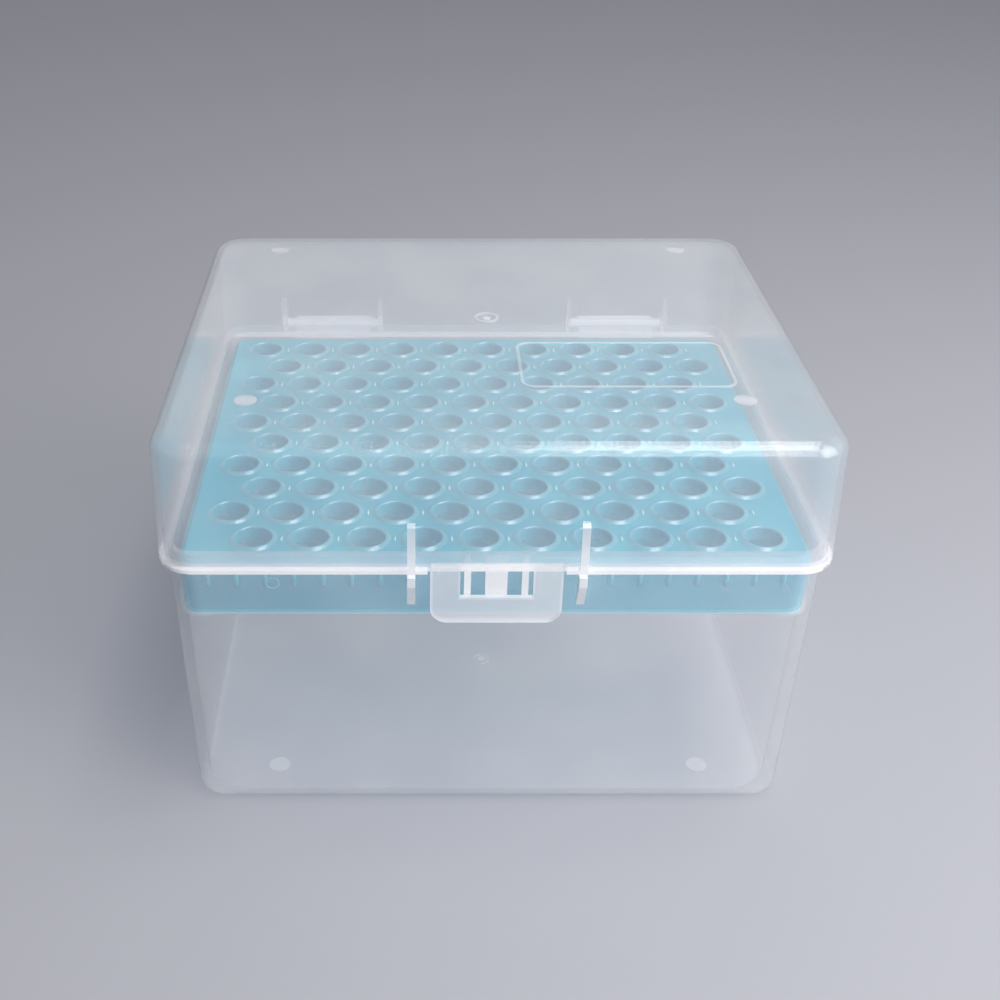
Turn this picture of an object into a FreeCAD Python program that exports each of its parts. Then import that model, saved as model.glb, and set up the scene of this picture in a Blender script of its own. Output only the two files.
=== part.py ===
import FreeCAD, Part
import math
import os

import Sketcher

# A hinged tip box for 100 one-millilitre pipette tips, in millimetres.
# +Z is up, +X is to the right and the hinge is at +Y, so the latch faces -Y.
# The origin is the middle of the base's underside.
# Three mouldings: the base, the rack that sits inside it and the lid that turns on the base.

SIZES = {
    # base
    "base_width": 155.0,
    "base_depth": 132.0,
    "base_height": 77.5,
    "base_corner": 7.0,
    "base_draft": 1.65,
    "wall": 1.4,
    "floor_thickness": 1.6,
    "foot_radius": 3.8,
    "seat_corner": 12.0,
    # ledge outside the base that the closed lid stands on
    "lid_overlap": 3.2,
    "ledge_inset": 0.2,
    "ledge_thickness": 1.0,
    # lid
    "lid_gap": 0.8,
    "lid_height": 32.7,
    "lid_draft": 0.8,
    "top_thickness": 1.5,
    "crown_radius": 4.7,
    # raised lines on top of the lid: a frame for a label and a ring round the moulding gate
    "line_rise": 0.3,
    "label_width": 52.0,
    "label_depth": 26.0,
    "label_right": 32.4,
    "label_forward": 25.9,
    "label_corner": 3.5,
    "label_line": 0.8,
    "gate_back": 3.0,
    "gate_radius": 3.25,
    "gate_line": 0.8,
    # latch tab on the lid and catch on the base
    "tab_width": 31.0,
    "tab_drop": 14.5,
    "tab_corner": 4.0,
    "tab_side_gap": 0.6,
    "window_width": 17.0,
    "window_drop": 7.5,
    "catch_width": 5.2,
    "catch_side_width": 1.6,
    "catch_spacing": 6.75,
    "catch_drop": 7.9,
    "catch_clearance": 0.3,
    # guard ribs on both sides of the latch
    "guard_spacing": 39.8,
    "guard_width": 1.9,
    "guard_reach": 1.6,
    "guard_rise": 14.0,
    "guard_drop": 11.0,
    # hinges
    "hinge_spacing": 89.6,
    "hook_width": 23.5,
    "hook_wall": 1.3,
    "hook_mouth": 125.0,
    "hook_gap": 0.35,
    "pin_radius": 1.5,
    "pin_clearance": 0.08,
    "pin_rise": 1.6,
    "ear_spacing": 30.2,
    "ear_thickness": 1.6,
    "ear_half": 2.75,
    "ear_rise": 13.0,
    # rack
    "rack_gap": 0.9,
    "rack_drop": 3.2,
    "rack_height": 15.5,
    "plate_thickness": 1.8,
    "skirt_wall": 1.2,
    "rack_edge": 1.5,
    "hole_pitch": 13.6,
    "row_pitch": 12.0,
    "holes_in_row": 10,
    "row_pairs": 5,
    "hole_diameter": 9.4,
    "hole_sides": 16.0,
}

# Formulas that several features share, written with the sheet's names. A SIZE is a (width, depth).
BASE_SLOPE = "tan(sizes.base_draft * 1deg)"
BASE_SIZE = ("sizes.base_width", "sizes.base_depth")
BASE_INNER_SIZE = tuple(f"({extent} - 2 * sizes.wall)" for extent in BASE_SIZE)
BASE_INNER_CORNER = "(sizes.base_corner - sizes.wall)"
SEAT_DROP = "(sizes.rack_drop + sizes.rack_height)"
SEAT_HEIGHT = f"(sizes.base_height - {SEAT_DROP})"
LID_RIM = "(sizes.base_height - sizes.lid_overlap)"
LID_INNER_SIZE = tuple(f"({extent} + 2 * sizes.lid_gap)" for extent in BASE_SIZE)
LID_INNER_CORNER = "(sizes.base_corner + sizes.lid_gap)"
LID_SIZE = tuple(f"({extent} + 2 * sizes.wall)" for extent in LID_INNER_SIZE)
LID_CORNER = f"({LID_INNER_CORNER} + sizes.wall)"
LID_BACK = f"({LID_SIZE[1]} / 2)"
HOOK_INNER = "(sizes.pin_radius + sizes.pin_clearance)"
HOOK_OUTER = f"({HOOK_INNER} + sizes.hook_wall)"
AXIS_Y = f"({LID_BACK} + sizes.hook_gap + {HOOK_OUTER})"
AXIS_Z = f"({LID_RIM} + sizes.pin_rise)"
INSIDE_BASE_WALL = "(sizes.base_depth / 2 - sizes.wall / 2)"
INSIDE_LID_WALL = f"({LID_BACK} - sizes.wall / 2)"
RACK_TOP = "(sizes.base_height - sizes.rack_drop)"
RACK_INSET = f"(sizes.rack_drop * {BASE_SLOPE} + sizes.rack_gap)"
RACK_SIZE = tuple(f"({extent} - 2 * {RACK_INSET})" for extent in BASE_INNER_SIZE)
RACK_CORNER = f"({BASE_INNER_CORNER} - {RACK_INSET})"

doc = FreeCAD.newDocument("tip_box")
sheet = doc.addObject("Spreadsheet::Sheet", "sizes")
for row, (name, size) in enumerate(SIZES.items(), start=1):
    sheet.set(f"A{row}", name)
    sheet.set(f"B{row}", str(size))
    sheet.setAlias(f"B{row}", name)
doc.recompute()


def number(formula):
    """The formula's value in millimetres or degrees, from the sheet as it stands."""
    value = sheet.evalExpression(formula)
    return float(getattr(value, "Value", value))


def new_body(name):
    body = doc.addObject("PartDesign::Body", name)
    body.Label = name
    return body


def origin_feature(body, role):
    return next(f for f in body.Origin.OriginFeatures if f.Role == role)


def new_sketch(body, name, role, offset="0"):
    """A sketch on one of the body's origin planes, moved along that plane's normal.

    XY looks down from +Z, XZ from -Y with its offset towards -Y, YZ from +X.
    """
    sketch = body.newObject("Sketcher::SketchObject", name)
    sketch.AttachmentSupport = [(origin_feature(body, role), "")]
    sketch.MapMode = "FlatFace"
    sketch.setExpression("AttachmentOffset.Base.z", offset)
    return sketch


def bind(sketch, kind, *args):
    """Adds a dimension to the sketch and ties it to its formula, the last argument."""
    *where, formula = args
    index = sketch.addConstraint(Sketcher.Constraint(kind, *where, number(formula)))
    sketch.setExpression(f"Constraints[{index}]", formula)


def rounded_rectangle(sketch, width, depth, corner):
    """Four sides and four equal corner arcs, centred on the sketch's origin."""
    w, d, r = number(width) / 2, number(depth) / 2, number(corner)
    ends = [
        ((-w + r, -d), (w - r, -d)),
        ((w, -d + r), (w, d - r)),
        ((w - r, d), (-w + r, d)),
        ((-w, d - r), (-w, -d + r)),
    ]
    centres = [(w - r, -d + r), (w - r, d - r), (-w + r, d - r), (-w + r, -d + r)]
    first = sketch.GeometryCount
    for start, end in ends:
        sketch.addGeometry(Part.LineSegment(FreeCAD.Vector(*start, 0), FreeCAD.Vector(*end, 0)))
    for quarter, centre in enumerate(centres):
        circle = Part.Circle(FreeCAD.Vector(*centre, 0), FreeCAD.Vector(0, 0, 1), r)
        turn = math.radians(90 * quarter - 90)
        sketch.addGeometry(Part.ArcOfCircle(circle, turn, turn + math.pi / 2))
    sides = range(first, first + 4)
    arcs = range(first + 4, first + 8)
    for side, arc, after in zip(sides, arcs, (*sides[1:], sides[0])):
        sketch.addConstraint(Sketcher.Constraint("Tangent", side, 2, arc, 1))
        sketch.addConstraint(Sketcher.Constraint("Tangent", arc, 2, after, 1))
    for side, kind in zip(sides, ("Horizontal", "Vertical", "Horizontal", "Vertical")):
        sketch.addConstraint(Sketcher.Constraint(kind, side))
    for arc in arcs[1:]:
        sketch.addConstraint(Sketcher.Constraint("Equal", arcs[0], arc))
    sketch.addConstraint(Sketcher.Constraint("Symmetric", arcs[0], 3, arcs[2], 3, -1, 1))
    bind(sketch, "Radius", arcs[0], corner)
    bind(sketch, "DistanceX", sides[0], 1, sides[0], 2, f"{width} - 2 * {corner}")
    bind(sketch, "DistanceY", sides[1], 1, sides[1], 2, f"{depth} - 2 * {corner}")


def outline(sketch, corners, arcs=None):
    """A closed loop through the corners, each a pair of formulas.

    arcs gives, for the number of a corner, the (radius, centre, turn) of the arc that leaves it.
    turn is 1 for an arc that runs anticlockwise and -1 for clockwise. The other sides are straight.
    """
    arcs = arcs or {}
    points = [FreeCAD.Vector(number(u), number(v), 0) for u, v in corners]
    first = sketch.GeometryCount
    ends = []  # each side's point number at its start and at its end
    for i, start in enumerate(points):
        end = points[(i + 1) % len(points)]
        if i in arcs:
            radius, (u, v), turn = arcs[i]
            centre = FreeCAD.Vector(number(u), number(v), 0)
            circle = Part.Circle(centre, FreeCAD.Vector(0, 0, 1), number(radius))
            low, high = (start, end) if turn > 0 else (end, start)
            a, b = (math.atan2(p.y - centre.y, p.x - centre.x) for p in (low, high))
            sketch.addGeometry(Part.ArcOfCircle(circle, a, b if b > a else b + 2 * math.pi))
            ends.append((1, 2) if turn > 0 else (2, 1))
        else:
            sketch.addGeometry(Part.LineSegment(start, end))
            ends.append((1, 2))
    for i, (u, v) in enumerate(corners):
        before = (i - 1) % len(corners)
        sketch.addConstraint(
            Sketcher.Constraint("Coincident", first + before, ends[before][1], first + i, ends[i][0])
        )
        bind(sketch, "DistanceX", first + i, ends[i][0], u)
        bind(sketch, "DistanceY", first + i, ends[i][0], v)
    for i, (radius, _, _) in arcs.items():
        bind(sketch, "Radius", first + i, radius)


def rectangle(sketch, left, bottom, right, top):
    outline(sketch, [(left, bottom), (right, bottom), (right, top), (left, top)])


def polygon(sketch, u, v, radius, sides):
    """A regular polygon whose sides touch the circle of this radius."""
    half = f"(180deg / {sides})"
    corners = [
        (
            f"({u}) + {radius} / cos({half}) * cos({2 * i + 1} * {half})",
            f"({v}) + {radius} / cos({half}) * sin({2 * i + 1} * {half})",
        )
        for i in range(int(number(sides)))
    ]
    outline(sketch, corners)


def circle(sketch, u, v, radius):
    centre = FreeCAD.Vector(number(u), number(v), 0)
    index = sketch.addGeometry(Part.Circle(centre, FreeCAD.Vector(0, 0, 1), number(radius)))
    bind(sketch, "DistanceX", index, 3, u)
    bind(sketch, "DistanceY", index, 3, v)
    bind(sketch, "Radius", index, radius)


def swept(kind, sketch, length, taper, reverse, both_sides):
    body = sketch.getParentGeoFeatureGroup()
    feature = body.newObject(f"PartDesign::{kind}", f"{sketch.Name}_{kind.lower()}")
    feature.Profile = sketch
    feature.setExpression("Length", length)
    feature.Reversed = reverse
    if both_sides:
        feature.SideType = "Symmetric"
    if taper:
        feature.setExpression("TaperAngle", taper)
    sketch.Visibility = False
    doc.recompute()
    return feature


def pad(sketch, length, taper=None, reverse=False, both_sides=False):
    return swept("Pad", sketch, length, taper, reverse, both_sides)


def pocket(sketch, length, taper=None, reverse=False):
    before = sketch.getParentGeoFeatureGroup().Shape.Volume
    feature = swept("Pocket", sketch, length, taper, reverse, False)
    if feature.Shape.Volume >= before:
        raise ValueError(f"{feature.Name} cut nothing")
    return feature


def lies_at(z):
    """True for the edges that lie flat at this height."""

    def chosen(edge):
        box = edge.BoundBox
        return abs(box.ZMin - z) < 1e-3 and abs(box.ZMax - z) < 1e-3

    return chosen


def corner_of(size, height, slope):
    """True for the upright corner edges of a drafted block of this (width, depth) at this height."""
    width, depth = (number(extent) for extent in size)
    level, lean = number(height), number(slope)

    def chosen(edge):
        middle = edge.CenterOfMass
        spread = 2 * (middle.z - level) * lean
        upright = edge.BoundBox.ZLength > 1
        across = abs(2 * abs(middle.x) - width - spread) < 1e-3
        along = abs(2 * abs(middle.y) - depth - spread) < 1e-3
        return upright and across and along

    return chosen


def dress_edges(body, kind, name, size, chosen):
    """A fillet or chamfer on the edges of the body's last feature for which chosen(edge) is true."""
    base = body.Tip
    names = [f"Edge{i}" for i, edge in enumerate(base.Shape.Edges, start=1) if chosen(edge)]
    feature = body.newObject(f"PartDesign::{kind}", name)
    feature.Base = (base, names)
    feature.setExpression({"Fillet": "Radius", "Chamfer": "Size"}[kind], size)
    doc.recompute()
    return feature


def fillet(body, name, radius, chosen):
    return dress_edges(body, "Fillet", name, radius, chosen)


def inner_bevel(body, name, outer_radius, thickness, level):
    """The bevel inside a rounded edge that keeps the wall's thickness across the outer curve."""
    size = (
        f"2 * {outer_radius} - sizes.wall - {thickness}"
        f" - sqrt(2) * ({outer_radius} - sizes.wall)"
    )
    return dress_edges(body, "Chamfer", name, size, lies_at(number(level)))


def drafted_block(body, kind, name, size, low, high, slope):
    """Adds or cuts a block whose four sides lean by slope, a tangent, outwards going up.

    kind is Additive or Subtractive, and size is the (width, depth) at the block's height low.
    """
    block = body.newObject(f"PartDesign::{kind}Wedge", name)
    # in this plane's frame the wedge's Y is up and its Z is towards the front
    block.AttachmentSupport = [(origin_feature(body, "XZ_Plane"), "")]
    block.MapMode = "FlatFace"
    block.setExpression("Ymin", low)
    block.setExpression("Ymax", high)
    for axis, extent in zip("XZ", size):
        for end, sign in (("min", "-"), ("max", "")):
            block.setExpression(f"{axis}{end}", f"{sign}{extent} / 2")
            block.setExpression(f"{axis}2{end}", f"{sign}({extent} / 2 + ({high} - {low}) * {slope})")
    doc.recompute()
    return block


def mirror(body, name, features):
    """The features again on the other side of the YZ plane."""
    copy = body.newObject("PartDesign::Mirrored", name)
    copy.Originals = features
    copy.MirrorPlane = (origin_feature(body, "YZ_Plane"), [""])
    body.Tip = copy
    doc.recompute()
    return copy


def base_shell(body):
    """The tapered box. Its corners are rounder below the rack, which leaves a seat in each of them."""
    outer = tuple(f"({extent} - 2 * sizes.base_height * {BASE_SLOPE})" for extent in BASE_SIZE)
    inner = tuple(f"({extent} - 2 * sizes.wall)" for extent in outer)
    inner_floor = tuple(
        f"({extent} + 2 * sizes.floor_thickness * {BASE_SLOPE})" for extent in inner
    )
    top, floor = "sizes.base_height", "sizes.floor_thickness"
    drafted_block(body, "Additive", "base_block", outer, "0", top, BASE_SLOPE)
    drafted_block(body, "Subtractive", "tip_well", inner_floor, floor, top, BASE_SLOPE)
    fillet(body, "seat_corners", "sizes.seat_corner", corner_of(inner, "0", BASE_SLOPE))

    sketch = new_sketch(body, "rack_well", "XY_Plane", top)
    rounded_rectangle(sketch, *BASE_INNER_SIZE, BASE_INNER_CORNER)
    pocket(sketch, SEAT_DROP, "-sizes.base_draft")

    fillet(body, "base_corners", "sizes.base_corner", corner_of(outer, "0", BASE_SLOPE))
    fillet(body, "foot", "sizes.foot_radius", lies_at(0))
    inner_bevel(body, "inner_foot", "sizes.foot_radius", "sizes.floor_thickness", floor)


def base_ledge(body):
    """The thin ledge round the outside that carries the lid's rim, open where the latch tab hangs."""
    sketch = new_sketch(body, "ledge", "XY_Plane", LID_RIM)
    outside = (f"({extent} - 2 * sizes.ledge_inset)" for extent in LID_SIZE)
    inside = (f"({extent} - sizes.wall)" for extent in BASE_SIZE)
    rounded_rectangle(sketch, *outside, f"({LID_CORNER} - sizes.ledge_inset)")
    rounded_rectangle(sketch, *inside, "(sizes.base_corner - sizes.wall / 2)")
    pad(sketch, "sizes.ledge_thickness", reverse=True)

    half = "(sizes.tab_width / 2 + sizes.tab_side_gap)"
    sketch = new_sketch(body, "tab_notch", "XY_Plane", LID_RIM)
    rectangle(sketch, f"-{half}", f"-{LID_BACK}", half, "-sizes.base_depth / 2")
    pocket(sketch, "sizes.ledge_thickness")


def base_catch(body):
    """The three upright ribs behind the tab's window."""
    reach = f"({LID_INNER_SIZE[1]} / 2 - sizes.catch_clearance)"
    sketch = new_sketch(body, "catch", "XZ_Plane", reach)
    bottom = f"({LID_RIM} - sizes.catch_drop)"
    for middle, width in (
        ("-sizes.catch_spacing", "sizes.catch_side_width"),
        ("0", "sizes.catch_width"),
        ("sizes.catch_spacing", "sizes.catch_side_width"),
    ):
        left, right = (f"{middle} {sign} {width} / 2" for sign in "-+")
        rectangle(sketch, left, bottom, right, "sizes.base_height")
    pad(sketch, f"{reach} - {INSIDE_BASE_WALL}", reverse=True)


def base_guards(body):
    """The tapering rib under the ledge on each side of the latch."""
    front = f"-({LID_BACK} + sizes.guard_reach)"
    root = f"-{INSIDE_BASE_WALL}"
    top = f"({LID_RIM} - sizes.ledge_thickness)"
    low = f"({LID_RIM} - sizes.guard_drop)"
    sketch = new_sketch(body, "base_guard", "YZ_Plane", "sizes.guard_spacing / 2")
    outline(
        sketch,
        [
            (root, top),
            (root, low),
            ("-sizes.base_depth / 2", low),
            (front, f"({low} + 3 * {top}) / 4"),
            (front, top),
        ],
    )
    rib = pad(sketch, "sizes.guard_width", both_sides=True)
    mirror(body, "base_guards", [rib])


def base_hooks(body):
    """The two moulded hooks at the back that the lid's pins snap into."""
    half = "(sizes.hook_mouth / 2 * 1deg)"

    def on_circle(radius, side):
        return (
            f"{AXIS_Y} {side} {radius} * sin({half})",
            f"{AXIS_Z} + {radius} * cos({half})",
        )

    axis = (AXIS_Y, AXIS_Z)
    web_foot = f"({AXIS_Z} - {HOOK_OUTER})"
    web_meets = f"({AXIS_Y} - sqrt({HOOK_OUTER} * {HOOK_OUTER} - sizes.pin_rise * sizes.pin_rise))"
    sketch = new_sketch(body, "hook", "YZ_Plane", "sizes.hinge_spacing / 2")
    outline(
        sketch,
        [
            (INSIDE_BASE_WALL, LID_RIM),
            (INSIDE_BASE_WALL, web_foot),
            (AXIS_Y, web_foot),
            on_circle(HOOK_OUTER, "+"),
            on_circle(HOOK_INNER, "+"),
            on_circle(HOOK_INNER, "-"),
            on_circle(HOOK_OUTER, "-"),
            (web_meets, LID_RIM),
        ],
        {2: (HOOK_OUTER, axis, 1), 4: (HOOK_INNER, axis, -1), 6: (HOOK_OUTER, axis, 1)},
    )
    hook = pad(sketch, "sizes.hook_width", both_sides=True)
    mirror(body, "hooks", [hook])


def make_base():
    body = new_body("base")
    base_shell(body)
    base_ledge(body)
    base_catch(body)
    base_guards(body)
    base_hooks(body)
    return body


def lid_shell(body):
    """The tapered cover, rounded along its top edge inside and out."""
    top = f"({LID_RIM} + sizes.lid_height)"
    ceiling = f"({top} - sizes.top_thickness)"
    slope = "-tan(sizes.lid_draft * 1deg)"
    drafted_block(body, "Additive", "lid_block", LID_SIZE, LID_RIM, top, slope)
    drafted_block(body, "Subtractive", "lid_well", LID_INNER_SIZE, LID_RIM, ceiling, slope)
    fillet(body, "lid_inner_corners", LID_INNER_CORNER, corner_of(LID_INNER_SIZE, LID_RIM, slope))
    fillet(body, "lid_corners", LID_CORNER, corner_of(LID_SIZE, LID_RIM, slope))
    fillet(body, "crown", "sizes.crown_radius", lies_at(number(top)))
    inner_bevel(body, "inner_crown", "sizes.crown_radius", "sizes.top_thickness", ceiling)


def lid_lines(body):
    """The raised frame that a label goes in and the raised ring round the gate."""
    top = f"({LID_RIM} + sizes.lid_height)"
    sketch = new_sketch(body, "label_frame", "XY_Plane", top)
    sketch.setExpression("AttachmentOffset.Base.x", "sizes.label_right")
    sketch.setExpression("AttachmentOffset.Base.y", "-sizes.label_forward")
    rounded_rectangle(sketch, "sizes.label_width", "sizes.label_depth", "sizes.label_corner")
    rounded_rectangle(
        sketch,
        "(sizes.label_width - 2 * sizes.label_line)",
        "(sizes.label_depth - 2 * sizes.label_line)",
        "(sizes.label_corner - sizes.label_line)",
    )
    pad(sketch, "sizes.line_rise")
    sketch = new_sketch(body, "gate_ring", "XY_Plane", top)
    circle(sketch, "0", "sizes.gate_back", "sizes.gate_radius")
    circle(sketch, "0", "sizes.gate_back", "(sizes.gate_radius - sizes.gate_line)")
    pad(sketch, "sizes.line_rise")


def lid_tab(body):
    """The latch tab that hangs from the front rim, with its window and rounded lower corners."""
    low = f"({LID_RIM} - sizes.tab_drop)"
    sketch = new_sketch(body, "tab", "XZ_Plane", LID_BACK)
    rectangle(
        sketch, "-sizes.tab_width / 2", low, "sizes.tab_width / 2", f"({LID_RIM} + sizes.wall)"
    )
    pad(sketch, "sizes.wall", reverse=True)
    lowest = lies_at(number(low))

    def lower_corner(edge):
        return lowest(edge) and edge.BoundBox.XLength < 1e-3

    fillet(body, "tab_corners", "sizes.tab_corner", lower_corner)
    sketch = new_sketch(body, "window", "XZ_Plane", LID_BACK)
    rectangle(
        sketch,
        "-sizes.window_width / 2",
        f"({LID_RIM} - sizes.window_drop)",
        "sizes.window_width / 2",
        LID_RIM,
    )
    pocket(sketch, "sizes.wall")


def lid_guards(body):
    """The rib above the rim on each side of the latch, in line with the base's."""
    front = f"-({LID_BACK} + sizes.guard_reach)"
    root = f"-{INSIDE_LID_WALL}"
    top = f"({LID_RIM} + sizes.guard_rise)"
    sketch = new_sketch(body, "lid_guard", "YZ_Plane", "sizes.guard_spacing / 2")
    outline(
        sketch,
        [
            (root, LID_RIM),
            (front, LID_RIM),
            (f"{front} + sizes.guard_reach / 3", f"({top} - sizes.guard_reach)"),
            (root, top),
        ],
    )
    rib = pad(sketch, "sizes.guard_width", both_sides=True)
    mirror(body, "lid_guards", [rib])


def lid_hinges(body):
    """Two pairs of ears at the back, each pair joined by the pin that turns in a hook."""
    heel_y = f"({AXIS_Y} + sizes.ear_half)"
    heel_z = f"({AXIS_Z} - sizes.ear_half)"
    features = []
    for side in "-+":
        name = "inner" if side == "-" else "outer"
        place = f"sizes.hinge_spacing / 2 {side} sizes.ear_spacing / 2"
        sketch = new_sketch(body, f"{name}_ear", "YZ_Plane", place)
        outline(
            sketch,
            [
                (INSIDE_LID_WALL, LID_RIM),
                (LID_BACK, LID_RIM),
                (f"{AXIS_Y} - sizes.ear_half / 2", heel_z),
                (heel_y, heel_z),
                (heel_y, f"({AXIS_Z} + sizes.ear_half / 2)"),
                (INSIDE_LID_WALL, f"({LID_RIM} + sizes.ear_rise)"),
            ],
        )
        features.append(pad(sketch, "sizes.ear_thickness", both_sides=True))
    start = "sizes.hinge_spacing / 2 - sizes.ear_spacing / 2"
    sketch = new_sketch(body, "pin", "YZ_Plane", start)
    circle(sketch, AXIS_Y, AXIS_Z, "sizes.pin_radius")
    features.append(pad(sketch, "sizes.ear_spacing"))
    mirror(body, "hinge_ears", features)


def make_lid():
    body = new_body("lid")
    lid_shell(body)
    lid_lines(body)
    lid_tab(body)
    lid_guards(body)
    lid_hinges(body)
    return body


def make_rack():
    """The tray that holds the tips: a plate of holes in staggered rows, with a skirt below."""
    body = new_body("rack")
    shrink = f"2 * sizes.rack_height * {BASE_SLOPE}"
    foot = tuple(f"({extent} - {shrink})" for extent in RACK_SIZE)
    hollow = tuple(f"({extent} - 2 * sizes.skirt_wall)" for extent in foot)
    skirt_top = f"({RACK_TOP} - sizes.plate_thickness)"
    drafted_block(body, "Additive", "rack_block", foot, SEAT_HEIGHT, RACK_TOP, BASE_SLOPE)
    drafted_block(body, "Subtractive", "skirt_hollow", hollow, SEAT_HEIGHT, skirt_top, BASE_SLOPE)
    inner_corner = f"{RACK_CORNER} - sizes.skirt_wall"
    fillet(body, "skirt_corners", inner_corner, corner_of(hollow, SEAT_HEIGHT, BASE_SLOPE))
    fillet(body, "rack_corners", RACK_CORNER, corner_of(foot, SEAT_HEIGHT, BASE_SLOPE))
    rim = lies_at(number(RACK_TOP))
    dress_edges(body, "Chamfer", "rack_edges", "sizes.rack_edge", rim)
    rack_holes(body)
    return body


def rack_holes(body):
    """One hole of an odd row and one of the even row behind it, repeated over the plate."""
    first_x = "-(sizes.holes_in_row - 1) / 2 * sizes.hole_pitch"
    first_y = "-(2 * sizes.row_pairs - 1) / 2 * sizes.row_pitch"
    odd = (f"{first_x} + sizes.hole_pitch / 4", first_y)
    even = (f"{first_x} - sizes.hole_pitch / 4", f"{first_y} + sizes.row_pitch")
    sketch = new_sketch(body, "holes", "XY_Plane", RACK_TOP)
    for place in (odd, even):
        polygon(sketch, *place, "sizes.hole_diameter / 2", "sizes.hole_sides")
    pair = pocket(sketch, "sizes.plate_thickness")

    grid = body.newObject("PartDesign::MultiTransform", "hole_grid")
    grid.Originals = [pair]
    along = body.newObject("PartDesign::LinearPattern", "holes_along")
    along.Direction = (origin_feature(body, "X_Axis"), [""])
    along.setExpression("Length", "(sizes.holes_in_row - 1) * sizes.hole_pitch")
    along.setExpression("Occurrences", "sizes.holes_in_row")
    back = body.newObject("PartDesign::LinearPattern", "rows_back")
    back.Direction = (origin_feature(body, "Y_Axis"), [""])
    back.setExpression("Length", "(sizes.row_pairs - 1) * 2 * sizes.row_pitch")
    back.setExpression("Occurrences", "sizes.row_pairs")
    grid.Transformations = [along, back]
    body.Tip = grid
    doc.recompute()


parts = [make_base(), make_lid(), make_rack()]
doc.recompute()

broken = [o.Name for o in doc.Objects if {"Invalid", "Error"} & set(o.State)]
if broken:
    raise ValueError(f"these objects failed: {broken}")
os.makedirs("parts", exist_ok=True)
for part in parts:
    shape = part.Shape
    if shape.isNull() or not shape.isValid() or len(shape.Solids) != 1:
        raise ValueError(f"{part.Label} is not one valid solid")
for part in parts:
    part.Shape.exportStep(f"parts/{part.Label}.step")
    box = part.Shape.BoundBox
    print(part.Label, f"{part.Shape.Volume / 1000:.1f} cm3", box)
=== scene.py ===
# %% [markdown]
# # A hinged box for pipette tips
# The real box is three mouldings of polypropylene: a milky base, a milky lid that turns on two
# hinges at its back, and a cyan rack inside whose holes hold the tips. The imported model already
# has their true shapes, so this notebook loads it, keeps it as it is, and adds what makes such a
# box look real: milky plastic that light passes through, the lips and sleeves of the holes, and
# the marks that a mould leaves.

import math

import bmesh
import bpy
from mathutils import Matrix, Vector


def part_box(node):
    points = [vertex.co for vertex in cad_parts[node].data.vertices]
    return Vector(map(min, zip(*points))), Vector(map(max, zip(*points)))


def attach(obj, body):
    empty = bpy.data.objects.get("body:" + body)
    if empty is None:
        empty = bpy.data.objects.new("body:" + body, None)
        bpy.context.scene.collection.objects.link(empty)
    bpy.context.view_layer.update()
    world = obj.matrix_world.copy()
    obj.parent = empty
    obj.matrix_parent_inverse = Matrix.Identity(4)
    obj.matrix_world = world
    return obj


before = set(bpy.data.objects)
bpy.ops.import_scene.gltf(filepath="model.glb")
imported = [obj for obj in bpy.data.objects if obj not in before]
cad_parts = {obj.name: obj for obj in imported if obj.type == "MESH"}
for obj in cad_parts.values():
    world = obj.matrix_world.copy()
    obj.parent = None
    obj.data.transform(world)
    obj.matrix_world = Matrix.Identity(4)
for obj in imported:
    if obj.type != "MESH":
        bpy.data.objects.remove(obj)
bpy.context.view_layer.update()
MM = 0.001
BASE, LID, RACK = (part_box(node) for node in ("base", "lid", "rack"))
for name, (low, high) in (("base", BASE), ("lid", LID), ("rack", RACK)):
    print(name, "is", [round(side / MM, 1) for side in high - low], "mm")

# %% [markdown]
# ## Where the camera stands
# A box on a table is seen from above and in front, here a little left of its middle. The camera
# could be turned and rolled until the box sits well in the frame, but then its upright edges
# would lean. So it only looks down, stays level from side to side, and a small lens shift frames
# the box. The lens is a normal one of about 50 mm.

# %% Camera
VIEW_DOWN = math.radians(29.13)
EYE = Vector((-19.6, -334.1, 252.5)) * MM
scene = bpy.context.scene
lens = bpy.data.cameras.new("camera")
lens.sensor_width = 36
lens.lens = 49.7
lens.shift_x = 0.0875
lens.shift_y = -0.042
camera = bpy.data.objects.new("camera", lens)
camera.location = EYE
camera.rotation_euler = (math.pi / 2 - VIEW_DOWN, 0, 0)
scene.collection.objects.link(camera)
scene.camera = camera
scene.view_settings.view_transform = "Standard"
print("camera at", [round(v, 3) for v in camera.location], "m")

# %% [markdown]
# ## Writing shaders as arithmetic
# A shader is a graph of nodes, and a graph is easier to read as an expression. This class wraps
# one output socket. Adding or multiplying two of them adds the Math node that does it, also when
# the other side is a plain number. Every other node comes from one method, which sets the node up
# first and fills its sockets after. Colours are mixed by a Mix node, because a Math node would
# turn them grey.


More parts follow.
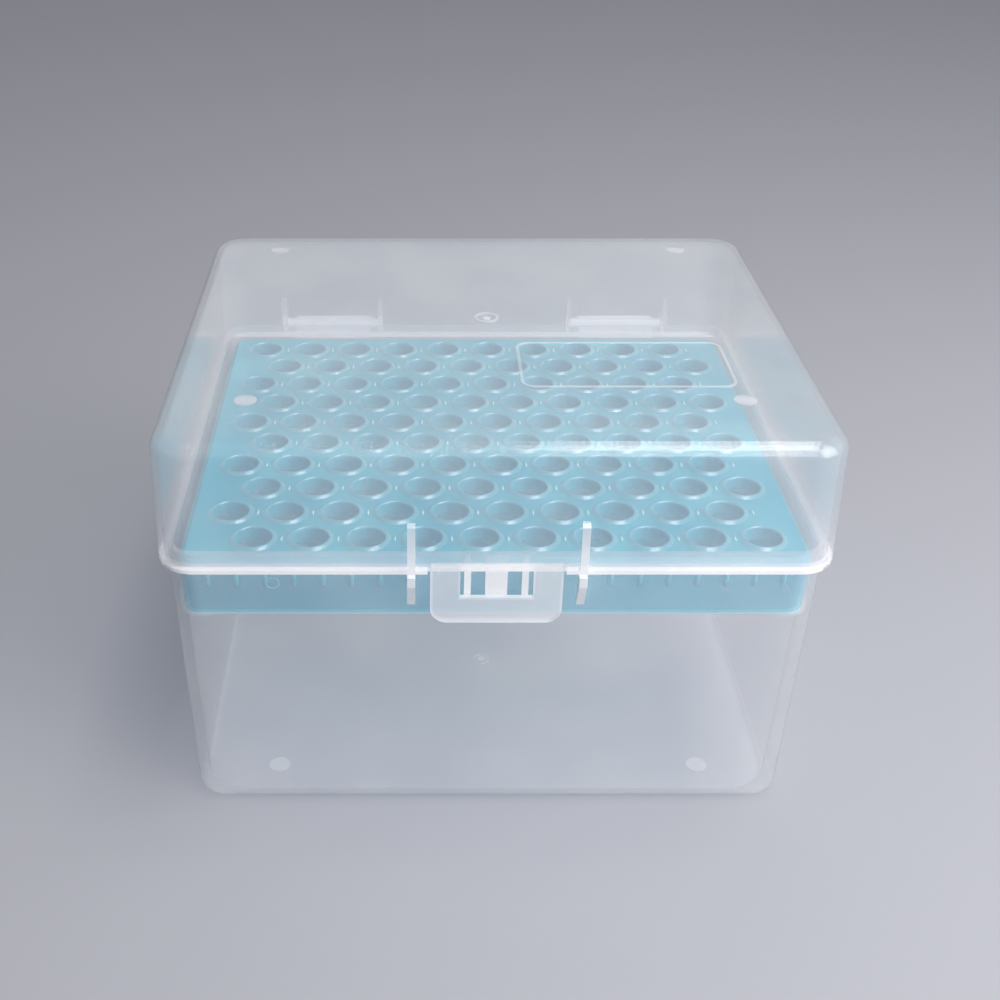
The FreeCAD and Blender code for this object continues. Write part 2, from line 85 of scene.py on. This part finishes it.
# %% A socket that takes part in Python expressions
class Field:
    """One output of a shader tree, or the empty start of one."""

    def __init__(self, tree, socket=None):
        self.tree = tree
        self.socket = socket

    def node(self, kind, settings=None, inputs=None, output=0):
        """Adds a node, sets it up, fills its inputs and gives one of its outputs."""
        made = self.tree.nodes.new(kind)
        for name, setting in (settings or {}).items():
            setattr(made, name, setting)
        for name, value in (inputs or {}).items():
            if isinstance(value, Field):
                self.tree.links.new(value.socket, made.inputs[name])
            else:
                made.inputs[name].default_value = value
        return Field(self.tree, made.outputs[output] if made.outputs else None)

    def math(self, operation, first, second=0.0):
        return self.node("ShaderNodeMath", {"operation": operation}, {0: first, 1: second})

    def __add__(self, other):
        return self.math("ADD", self, other)

    def __sub__(self, other):
        return self.math("SUBTRACT", self, other)

    def __rsub__(self, other):
        return self.math("SUBTRACT", other, self)

    def __mul__(self, other):
        return self.math("MULTIPLY", self, other)

    def __pow__(self, other):
        return self.math("POWER", self, other)

    def __rpow__(self, other):
        return self.math("POWER", other, self)

    def __abs__(self):
        return self.math("ABSOLUTE", self)

    __radd__ = __add__
    __rmul__ = __mul__

    def at_least(self, other):
        return self.math("MAXIMUM", self, other)

    def at_most(self, other):
        return self.math("MINIMUM", self, other)

    def smooth(self, low, high):
        """0 where this is at low, 1 where it is at high, and a soft ramp between."""
        values = {"Value": self, "From Min": low, "From Max": high}
        return self.node("ShaderNodeMapRange", {"interpolation_type": "SMOOTHSTEP"}, values)

    def blend(self, low, high):
        """A colour between low and high, by this mask."""
        colours = {0: self, 6: low, 7: high}
        return self.node("ShaderNodeMix", {"data_type": "RGBA"}, colours, output=2)


def new_material(name):
    """An empty material and the start of its tree."""
    material = bpy.data.materials.new(name)
    material.use_nodes = True
    material.node_tree.nodes.clear()
    return material, Field(material.node_tree)


print("arithmetic on sockets is ready")

# %% [markdown]
# ## Milky plastic
# Natural polypropylene is neither clear nor white. A thin wall lets most light straight through
# and scatters the rest, so what lies behind it stays sharp under a white veil. The veil thickens
# where light crosses the wall at a slant, which is why edges and ribs look whiter than faces.
# Glass would bend and blur what is behind, and would keep the lamps' light out of the box. So the
# shader mixes three parts instead: a clear one that passes light straight, a scattering one with
# the veil's colour, and a glossy one that grows towards grazing angles as on any smooth plastic.
#
# The share that a wall lets through falls by a power of the path's length in it. Light bends
# towards the straight way as it enters, so the path stays short until the wall is seen nearly
# edge-on.

# %% The shader of a thin milky wall
EDGE_PATH = 1.2
GRAZING_MIRROR = 0.9
SOFT_SHINE = 0.2


def milky(graph, colour, tint, shade, veil, roughness, gloss, polish, normal):
    """Ends a tree as a thin wall that scatters a share veil of the light that meets it head on.

    gloss is the share that it mirrors head on, and polish is the mirror's roughness.
    """
    slant = graph.node("ShaderNodeLayerWeight", None, {"Blend": 0.5}, output=1)
    path = 1 + EDGE_PATH * slant**3
    scattered = 1 - (1 - veil) ** path
    clear = graph.node("ShaderNodeBsdfTransparent", None, {"Color": tint})
    inputs = {"Base Color": colour, "Roughness": roughness, "Specular IOR Level": SOFT_SHINE}
    body = graph.node("ShaderNodeBsdfPrincipled", None, inputs)
    wall = graph.node("ShaderNodeMixShader", None, {0: scattered, 1: clear, 2: body})
    inputs = {"Roughness": polish, "Normal": normal}
    mirror = graph.node("ShaderNodeBsdfAnisotropic", None, inputs)
    mirrored = gloss + (GRAZING_MIRROR - gloss) * slant**5
    seen = graph.node("ShaderNodeMixShader", None, {0: mirrored, 1: wall, 2: mirror})
    passed = graph.node("ShaderNodeBsdfTransparent", None, {"Color": shade})
    from_lamp = graph.node("ShaderNodeLightPath", None, None, output=1)
    surface = graph.node("ShaderNodeMixShader", None, {0: from_lamp, 1: seen, 2: passed})
    graph.node("ShaderNodeOutputMaterial", None, {"Surface": surface})


print("seen edge-on, light crosses", 1 + EDGE_PATH, "times its head-on path")

# %% [markdown]
# ## What moulding and handling leave on the plastic
# No moulding is even. The melt cools in slow clouds, so the veil is a little denser in some
# places. The skin shrinks a little as it sets, which leaves a soft orange peel, and a bench and
# many hands leave faint scratches. All of it is too fine and too shallow to model, so it comes
# from noise over the object's own position. The clouds change the veil and the roughness, and the
# peel and scratches go into one bump, which only the gloss shows. Light meets a dozen of these
# surfaces in a row, so the noises keep few octaves.

# %% Clouds, orange peel and scratches
CLOUD_SIZE = 26 * MM
PEEL_SIZE = 1.8 * MM
SCRATCH_SPACING = 7 * MM
SCRATCH_WIDTH = 0.012
BUMP_DEPTH = 0.04 * MM
BUMP_SHARE = 0.6


def noise(graph, place, size, detail=0.0):
    """Soft noise whose lumps are about this size."""
    inputs = {"Vector": place, "Scale": 1 / size, "Detail": detail}
    return graph.node("ShaderNodeTexNoise", None, inputs)


def worn_bump(graph, place, strength):
    """The normal of a surface with the melt's soft orange peel and a few long scratches."""
    inputs = {"Vector": place, "Rotation": (0.5, 0.3, 0.7), "Scale": (16.0, 0.7, 0.7)}
    stretched = graph.node("ShaderNodeMapping", None, inputs)
    streak = abs(noise(graph, stretched, SCRATCH_SPACING, 2.0) - 0.5)
    scratch = 1 - streak.smooth(0.0, SCRATCH_WIDTH)
    height = BUMP_SHARE * noise(graph, place, PEEL_SIZE) - BUMP_SHARE * scratch
    inputs = {"Strength": strength, "Distance": BUMP_DEPTH, "Height": height}
    return graph.node("ShaderNodeBump", None, inputs)


print("clouds are about", CLOUD_SIZE / MM, "mm across and orange peel", PEEL_SIZE / MM, "mm")

# %% [markdown]
# ## The natural shells
# The base and lid share one plastic with no dye. Whatever is thicker than a wall looks nearly
# white: the lid's rim, the catch ribs behind the latch's window, the guards beside it, the
# hinges, and the raised lines on the lid. They stand proud of the walls, so soft masks over
# position find them. Light that travels inside the plastic comes out at its edges, so the rim and
# ledge glow. That glow is painted into the veil, strongest along the front and over the tab.

# %% Natural polypropylene
NATURAL = (0.90, 0.90, 0.92, 1.0)
NATURAL_WARM = (0.94, 0.93, 0.93, 1.0)
CLEAR_TINT = (0.985, 0.985, 0.99, 1.0)
SHADE = (0.93, 0.93, 0.94, 1.0)
WALL_VEIL = 0.13
RIB_VEIL = 0.62
EDGE_VEIL = 0.45
DENSEST_VEIL = 0.9
MARK_SHARE = 0.35
LINE_RISE = 0.3 * MM
LID_HEIGHT = 32.7 * MM
LID_TOP = LID[1].z
RIM = LID_TOP - LINE_RISE - LID_HEIGHT
BASE_FACE = 66.1 * MM
LID_FACE = 68.25 * MM
LEDGE_FACE = 77.6 * MM
TAB_HALF = 15.5 * MM
TAB_BOTTOM = RIM - 14.5 * MM
WINDOW_HALF = 8.5 * MM
WINDOW_BOTTOM = RIM - 7.5 * MM


def natural_plastic(name, thick_and_glow_places):
    """Undyed polypropylene, whose veil thickens over ribs and takes a painted edge glow, by the
    masks that the given function returns.
    """
    material, graph = new_material(name)
    place = graph.node("ShaderNodeTexCoord", None, None, output=3)
    x, y, z = (
        graph.node("ShaderNodeSeparateXYZ", None, {"Vector": place}, output=i) for i in range(3)
    )
    clouds = noise(graph, place, CLOUD_SIZE, 1.0)
    ribs, edges = thick_and_glow_places(abs(x), y, z)
    veil = WALL_VEIL * (0.75 + 0.5 * clouds)
    # Painted glow: the edges mask gives rims, ledge, raised lines and tab edges a denser, whiter
    # veil.
    veil = veil + ribs * (RIB_VEIL - WALL_VEIL) + edges * (EDGE_VEIL - WALL_VEIL)
    veil = veil.at_most(DENSEST_VEIL)
    colour = clouds.smooth(0.35, 0.7).blend(NATURAL, NATURAL_WARM)
    roughness = 0.35 + 0.2 * clouds
    normal = worn_bump(graph, place, 0.4)
    milky(graph, colour, CLEAR_TINT, SHADE, veil, roughness, 0.06, 0.15, normal)
    return material


def front_glow(y):
    """Painted edge glow: much along the front and little along the sides and back."""
    return 0.8 - 0.68 * y.smooth(-66.0 * MM, -50.0 * MM)


def thick_and_glow_in_base(x, y, z):
    """Ribs, hooks and ledge stand out of the walls, and the foot glows.

    Below the ledge the guards get a denser veil, painted light on their shaded lower faces.
    The catch ribs glow in the tab's window and fade above the rim, where the lid covers them.
    """
    ribs = abs(y).smooth(BASE_FACE, BASE_FACE + 0.25 * MM)
    front = 1 - y.smooth(0.0, MM)
    catch = ribs * (1 - x.smooth(8 * MM, 9 * MM)) * front
    covered = z.smooth(RIM, RIM + 0.6 * MM)
    # Painted light: below the ledge the front ribs' veil rises, whitening faces the lamps leave in
    # shade.
    guards = front * (1 - z.smooth(RIM - 1.4 * MM, RIM - 1.1 * MM))
    ribs = ribs * (1 + 0.35 * guards) - 0.7 * catch * covered
    catch = catch * (1 - covered)
    # Painted edge glow along the ledge's outer edge, strongest along the front, and along the foot.
    ledge = z.smooth(RIM - 1.1 * MM, RIM - 0.9 * MM) * (1 - z.smooth(RIM, RIM + 0.1 * MM))
    outside = ribs.at_least(x.smooth(LEDGE_FACE, LEDGE_FACE + 0.3 * MM))
    foot = (1 - z.smooth(0.0, 1.2 * MM)) * 0.35
    return ribs, catch * 0.8 + (ledge * outside * front_glow(y)).at_least(foot)


def thick_and_glow_in_lid(x, y, z):
    """Guards, ears and tab stand out of the walls, and the rim and raised lines glow.

    The guards fade towards their tips, and the edges of the tab and of its window are brighter
    than the tab itself.
    """
    front = 1 - y.smooth(0.0, MM)
    ribs = abs(y).smooth(LID_FACE, LID_FACE + 0.2 * MM) * (0.95 + 0.3 * front)
    ribs = ribs * (1 - 0.4 * front * z.smooth(RIM + 4 * MM, RIM + 14 * MM))
    # Painted edge glow on the rim, strongest along the front and over the tab, and on the raised
    # lines and the tab's edges.
    rim = z.smooth(RIM - 0.1 * MM, RIM) * (1 - z.smooth(RIM + 0.9 * MM, RIM + 1.8 * MM))
    over_tab = front * (1 - x.smooth(TAB_HALF - 0.5 * MM, TAB_HALF + 0.1 * MM))
    rim = rim * front_glow(y) * (1 + 1.5 * over_tab)
    lines = z.smooth(LID_TOP - 0.25 * MM, LID_TOP - 0.05 * MM) * 0.6
    below = (1 - z.smooth(RIM - 0.2 * MM, RIM)) * front
    tab_side = x.smooth(TAB_HALF - 0.9 * MM, TAB_HALF - 0.1 * MM)
    tab_foot = 1 - z.smooth(TAB_BOTTOM, TAB_BOTTOM + MM)
    by_window = 1 - x.smooth(WINDOW_HALF, WINDOW_HALF + 0.7 * MM)
    by_window = by_window * z.smooth(WINDOW_BOTTOM - 0.8 * MM, WINDOW_BOTTOM - 0.1 * MM)
    tab_edge = below * tab_side.at_least(tab_foot).at_least(by_window) * 0.5
    return ribs + below * 0.35, rim.at_least(lines).at_least(tab_edge)


def frosted_all_over(x, y, z):
    """An ejector mark is a third of the way from a wall's veil to a rib's everywhere."""
    return MARK_SHARE, 0.0


base_plastic = natural_plastic("natural_polypropylene_base", thick_and_glow_in_base)
lid_plastic = natural_plastic("natural_polypropylene_lid", thick_and_glow_in_lid)
frosted = natural_plastic("frosted_mark", frosted_all_over)
print("a wall scatters", WALL_VEIL, "a rib", RIB_VEIL, "and an edge", EDGE_VEIL)

# %% [markdown]
# ## The dyed rack
# The rack is the same plastic with a cyan dye. The dye takes the red out of what passes through,
# so its clear part is tinted as well. The plate's veil is the densest and the skirt below it is
# thinner. Its foot gets a pale colour and a denser veil, a painted glow where light leaves the
# edge. The lips of the holes are a little paler than the plate and glossier, so lamps draw
# crescents on them. Ticks and ribs get bright colours, a painted glow of the light they carry.

# %% Cyan polypropylene
CYAN_DEEP = (0.05, 0.56, 0.70, 1.0)
CYAN_BRIGHT = (0.14, 0.69, 0.80, 1.0)
CYAN_SOFT = (0.28, 0.76, 0.85, 1.0)
# CYAN_PALE, CYAN_VIVID and CYAN_GLOW are painted glow colours for the skirt's foot, its ribs, and
# the ticks and ejector mark.
CYAN_PALE = (0.42, 0.82, 0.89, 1.0)
CYAN_TINT = (0.42, 0.82, 0.93, 1.0)
CYAN_VIVID = (0.18, 0.90, 0.98, 1.0)
CYAN_GLOW = (0.62, 0.92, 0.96, 1.0)
CYAN_SHADE = (0.63, 0.68, 0.69, 1.0)
RACK_TOP = RACK[1].z


def cyan_plastic(name, deep, bright, density, gloss=0.06, polish=0.12):
    """Dyed polypropylene between two shades, whose veil is density."""
    material, graph = new_material(name)
    place = graph.node("ShaderNodeTexCoord", None, None, output=3)
    z = graph.node("ShaderNodeSeparateXYZ", None, {"Vector": place}, output=2)
    clouds = noise(graph, place, CLOUD_SIZE, 1.0)
    plate = z.smooth(RACK_TOP - 4 * MM, RACK_TOP - 2 * MM)
    # Painted glow: the foot gets CYAN_PALE and a denser veil, standing in for light leaving the
    # edge.
    foot = 1 - z.smooth(RACK[0].z + 0.2 * MM, RACK[0].z + 0.8 * MM)
    colour = foot.blend(clouds.smooth(0.3, 0.75).blend(deep, bright), CYAN_PALE)
    veil = density * (0.4 + 0.5 * plate + 0.24 * clouds) + 0.4 * foot
    roughness = 0.3 + 0.2 * clouds
    normal = worn_bump(graph, place, 0.3)
    milky(graph, colour, CYAN_TINT, CYAN_SHADE, veil, roughness, gloss, polish, normal)
    return material


cyan = cyan_plastic("cyan_polypropylene", CYAN_DEEP, CYAN_BRIGHT, 0.52)
cyan_thin = cyan_plastic("cyan_lips", CYAN_BRIGHT, CYAN_SOFT, 0.42, gloss=0.18, polish=0.2)
# Painted glow: the ticks and the ejector mark wear cyan_edge, and the skirt ribs a vivid cyan. Both
# are pale and dense, so they stand out as if lit from inside.
cyan_edge = cyan_plastic("cyan_edges", CYAN_GLOW, CYAN_GLOW, 0.8)
cyan_rib_glow = cyan_plastic("cyan_ribs", CYAN_VIVID, CYAN_VIVID, 0.8)
print("rack and its lips have their dye")

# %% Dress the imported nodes
for node, material in (("base", base_plastic), ("lid", lid_plastic), ("rack", cyan)):
    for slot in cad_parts[node].material_slots:
        slot.link = "OBJECT"
        slot.material = material
    print(node, "wears", material.name)

# %% [markdown]
# ## Making meshes by turning and by repeating
# Sleeves, lips, rings and discs are all turned shapes: a profile swept round an axis. One helper
# turns a closed profile and sets the same shape down in many places of one mesh, because a
# hundred sleeves that are moulded in one piece need not be a hundred objects.


# %% Helpers for meshes
def piece(name, bm, material, body):
    """Turns a bmesh into a smooth object with a material, riding on a body."""
    bmesh.ops.remove_doubles(bm, verts=bm.verts, dist=0.001 * MM)
    bmesh.ops.recalc_face_normals(bm, faces=bm.faces)
    mesh = bpy.data.meshes.new(name)
    bm.to_mesh(mesh)
    bm.free()
    mesh.materials.append(material)
    made = bpy.data.objects.new(name, mesh)
    scene.collection.objects.link(made)
    for face in mesh.polygons:
        face.use_smooth = True
    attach(made, body)
    print(name, "has", len(mesh.polygons), "faces")


def turned(bm, profile, places, segments=28, upright=True):
    """Sweeps a closed profile of (radius, height) in millimetres round each place, given in metres.

    upright turns it about Z, and otherwise about Y with the height towards -Y.
    """
    for place in places:
        rings = []
        for step in range(segments):
            angle = 2 * math.pi * step / segments
            ring = []
            for radius, height in profile:
                across, along = radius * math.cos(angle), radius * math.sin(angle)
                offset = Vector((across, along, height) if upright else (across, -height, along))
                ring.append(bm.verts.new(place + offset * MM))
            rings.append(ring)
        for ring, after in zip(rings, rings[1:] + rings[:1]):
            for i in range(-1, len(profile) - 1):
                bm.faces.new((ring[i], after[i], after[i + 1], ring[i + 1]))


def circle_profile(radius, height, thickness, steps=10):
    """The round section of a thin ring."""
    turns = (2 * math.pi * step / steps for step in range(steps))
    return [
        (radius + thickness * math.cos(turn), height + thickness * math.sin(turn)) for turn in turns
    ]


print("helpers are ready")

# %% [markdown]
# ## Lips and sleeves of the holes
# On the real rack each hole has a soft raised lip at its mouth and a short tapered sleeve below
# the plate, which keeps the tip upright. The solid plate has plain holes, so this piece lines
# each of them: the profile rises from the plate to a crest, turns down into the mouth, follows
# the hole and tapers to the sleeve's foot. The rows are staggered: each is a quarter of the pitch
# right or left of the middle.

# %% Lips and sleeves
PITCH = 13.6 * MM
ROW_PITCH = 12.0 * MM
PER_ROW = 10
ROWS = 10
PLATE = 1.8
LIP_AND_SLEEVE = [
    (5.95, -0.06),
    (5.8, 0.02),
    (5.4, 0.28),
    (5.05, 0.5),
    (4.8, 0.6),
    (4.6, 0.55),
    (4.47, 0.25),
    (4.44, -0.4),
    (4.3, -PLATE),
    (3.55, -5.25),
    (3.62, -5.4),
    (4.0, -5.4),
    (4.1, -5.25),
    (4.66, -2.1),
    (4.66, -0.4),
    (4.8, -0.06),
]


def hole_places():
    """The middle of every hole at the plate's top, row by row from the front."""
    places = []
    for row in range(ROWS):
        side = 1 if row % 2 == 0 else -1
        y = (row - (ROWS - 1) / 2) * ROW_PITCH
        for column in range(PER_ROW):
            x = (column - (PER_ROW - 1) / 2) * PITCH + side * PITCH / 4
            places.append(Vector((x, y, RACK_TOP)))
    return places


bm = bmesh.new()
turned(bm, LIP_AND_SLEEVE, hole_places())
piece("rack_sleeves", bm, cyan_thin, "box")

# %% [markdown]
# ## Small marks on the rack
# Between the holes of a row stand short raised ticks. Short spacer ribs, two for every hole,
# stand a third of a millimetre proud of the front and back skirts and keep the rack centred in
# the base. A round ejector mark sits on the front skirt, near its left end.


# %% Ticks, skirt ribs and ejector mark
def rounded_bar(bm, middle, size):
    """A bar with rounded edges, centred on middle, with a size for each axis in millimetres."""
    made = bmesh.ops.create_cube(bm, size=1.0)["verts"]
    for vert in made:
        vert.co = Vector(vert.co[i] * size[i] for i in range(3)) * MM + middle
    edges = list({edge for vert in made for edge in vert.link_edges})
    bmesh.ops.bevel(bm, geom=edges, offset=min(size) * 0.3 * MM, segments=2, affect="EDGES")


TICK = (0.45, 2.4, 0.35)
bm = bmesh.new()
for place in hole_places():
    if place.x + PITCH < RACK[1].x - PITCH / 4:
        rounded_bar(bm, place + Vector((PITCH / 2, 0, 0.1 * MM)), TICK)
piece("rack_ticks", bm, cyan_edge, "box")

RIB = (1.3, 0.9, 5.3)
RIB_DROP = 2.0
RIBS_EACH_WAY = 10
bm = bmesh.new()
for wall, side in ((RACK[0].y, 1), (RACK[1].y, -1)):
    for step in range(-RIBS_EACH_WAY, RIBS_EACH_WAY + 1):
        height = RACK_TOP - (RIB_DROP + RIB[2] / 2) * MM
        middle = Vector((step * PITCH / 2, wall + side * 0.1 * MM, height))
        rounded_bar(bm, middle, RIB)
piece("rack_skirt_ribs", bm, cyan_rib_glow, "box")

bm = bmesh.new()
mark = Vector((-52.7 * MM, RACK[0].y + 0.25 * MM, 67.8 * MM))
turned(bm, circle_profile(1.5, 0.0, 0.2), [mark], segments=32, upright=False)
piece("rack_ejector_mark", bm, cyan_edge, "box")

# %% [markdown]
# ## Marks inside the shells
# Ejector pins push a moulding off its core, and each leaves a shallow disc inside: four under the
# lid's top and two on the base's floor. The melt enters at the middle, where the gate leaves a
# small dimpled stub. The discs are frosted by the pins' ends, so they get a denser plastic.

# %% Ejector discs and gates
DISC = [(0.0, -0.3), (2.75, -0.3), (2.8, -0.12), (2.6, 0.0), (0.0, 0.0)]
STUB = [(0.0, -0.5), (1.15, -0.5), (1.1, -0.15), (0.7, 0.0), (0.0, 0.0)]
CEILING = LID_TOP - LINE_RISE - 1.45 * MM
FLOOR_LEVEL = 1.6 * MM
lid_marks = [Vector((x * MM, y * MM, CEILING)) for x in (-59.2, 59.2) for y in (-42.0, 58.0)]
base_marks = [Vector((x * MM, -52.0 * MM, FLOOR_LEVEL + 0.25 * MM)) for x in (-55.0, 56.0)]
lid_gate = Vector((0, 3.0 * MM, LID_TOP - 0.05 * MM))
base_gate = Vector((0.7 * MM, -6.0 * MM, FLOOR_LEVEL))

bm = bmesh.new()
turned(bm, DISC, lid_marks, segments=32)
turned(bm, STUB, [lid_gate], segments=24)
piece("lid_ejector_marks", bm, frosted, "lid")

bm = bmesh.new()
turned(bm, DISC, base_marks, segments=32)
turned(bm, STUB, [base_gate + Vector((0, 0, 0.4 * MM))], segments=24)
turned(bm, circle_profile(2.2, 0.0, 0.16), [base_gate], segments=32)
piece("base_ejector_marks", bm, frosted, "box")

# %% [markdown]
# ## The table it stands on
# A plain pale grey floor takes a soft shadow. It is satin rather than glossy, so that the lamps
# leave no glare on it, and darker than the plastic's veil, so that the milky edges stand out
# against it.

# %% Floor
FLOOR = (0.43, 0.43, 0.465, 1.0)
FLOOR_HALF = 4.0
material, graph = new_material("pale_floor")
place = graph.node("ShaderNodeTexCoord", None, None, output=3)
flow = noise(graph, place, 0.4, 1.0)
satin = 0.45 + 0.1 * flow
inputs = {"Base Color": FLOOR, "Roughness": satin, "Specular IOR Level": SOFT_SHINE}
surface = graph.node("ShaderNodeBsdfPrincipled", None, inputs)
graph.node("ShaderNodeOutputMaterial", None, {"Surface": surface})
bm = bmesh.new()
bmesh.ops.create_grid(bm, x_segments=1, y_segments=1, size=FLOOR_HALF)
mesh = bpy.data.meshes.new("floor")
bm.to_mesh(mesh)
bm.free()
mesh.materials.append(material)
floor = bpy.data.objects.new("floor", mesh)
floor.location.z = -0.1 * MM
scene.collection.objects.link(floor)
print("floor is", [round(v, 2) for v in floor.dimensions], "m")

# %% [markdown]
# ## Light
# A softbox close to the right front is the main light, so that side of the box is the brightest.
# A level strip overhead draws the long highlight on the lid's front crown and the crescents on
# the lips of the holes. An even sky fills the rest. It is brighter towards the horizon, which
# edges and slanting walls mirror, so that they look lighter than the faces.


# %% Sky and softboxes
HORIZON = (0.54, 0.55, 0.575, 1.0)
ZENITH = (0.29, 0.30, 0.325, 1.0)
BOX_MIDDLE = Vector((0, 0, 0.06))


def softbox(name, place, size, glow, level=False):
    """A rectangular lamp, level or turned to the middle of the box, as bright as this glow."""
    lamp = bpy.data.lights.new(name, "AREA")
    lamp.shape = "RECTANGLE"
    lamp.size, lamp.size_y = size
    lamp.energy = math.pi * size[0] * size[1] * glow
    holder = bpy.data.objects.new(name, lamp)
    holder.location = place
    towards = BOX_MIDDLE - Vector(place)
    if not level:
        holder.rotation_euler = towards.to_track_quat("-Z", "Y").to_euler()
    holder.visible_camera = False
    scene.collection.objects.link(holder)
    print(name, "is", round(towards.length, 2), "m away and gives", round(lamp.energy, 1), "W")


world = bpy.data.worlds.new("sky")
world.use_nodes = True
world.node_tree.nodes.clear()
sky = Field(world.node_tree)
direction = sky.node("ShaderNodeTexCoord", None, None, output=0)
height = sky.node("ShaderNodeSeparateXYZ", None, {"Vector": direction}, output=2)
colour = height.smooth(0.0, 0.9).blend(HORIZON, ZENITH)
background = sky.node("ShaderNodeBackground", None, {"Color": colour, "Strength": 1.0})
sky.node("ShaderNodeOutputWorld", None, {"Surface": background})
scene.world = world
softbox("softbox_key", (0.48, -0.36, 0.36), (0.45, 0.45), 5.4)
softbox("strip_overhead", (0.27, -0.25, 1.0), (0.34, 1.0), 5.3, level=True)

# light crosses many thin walls in a row here, more than the default count of clear surfaces
scene.cycles.transparent_max_bounces = 32
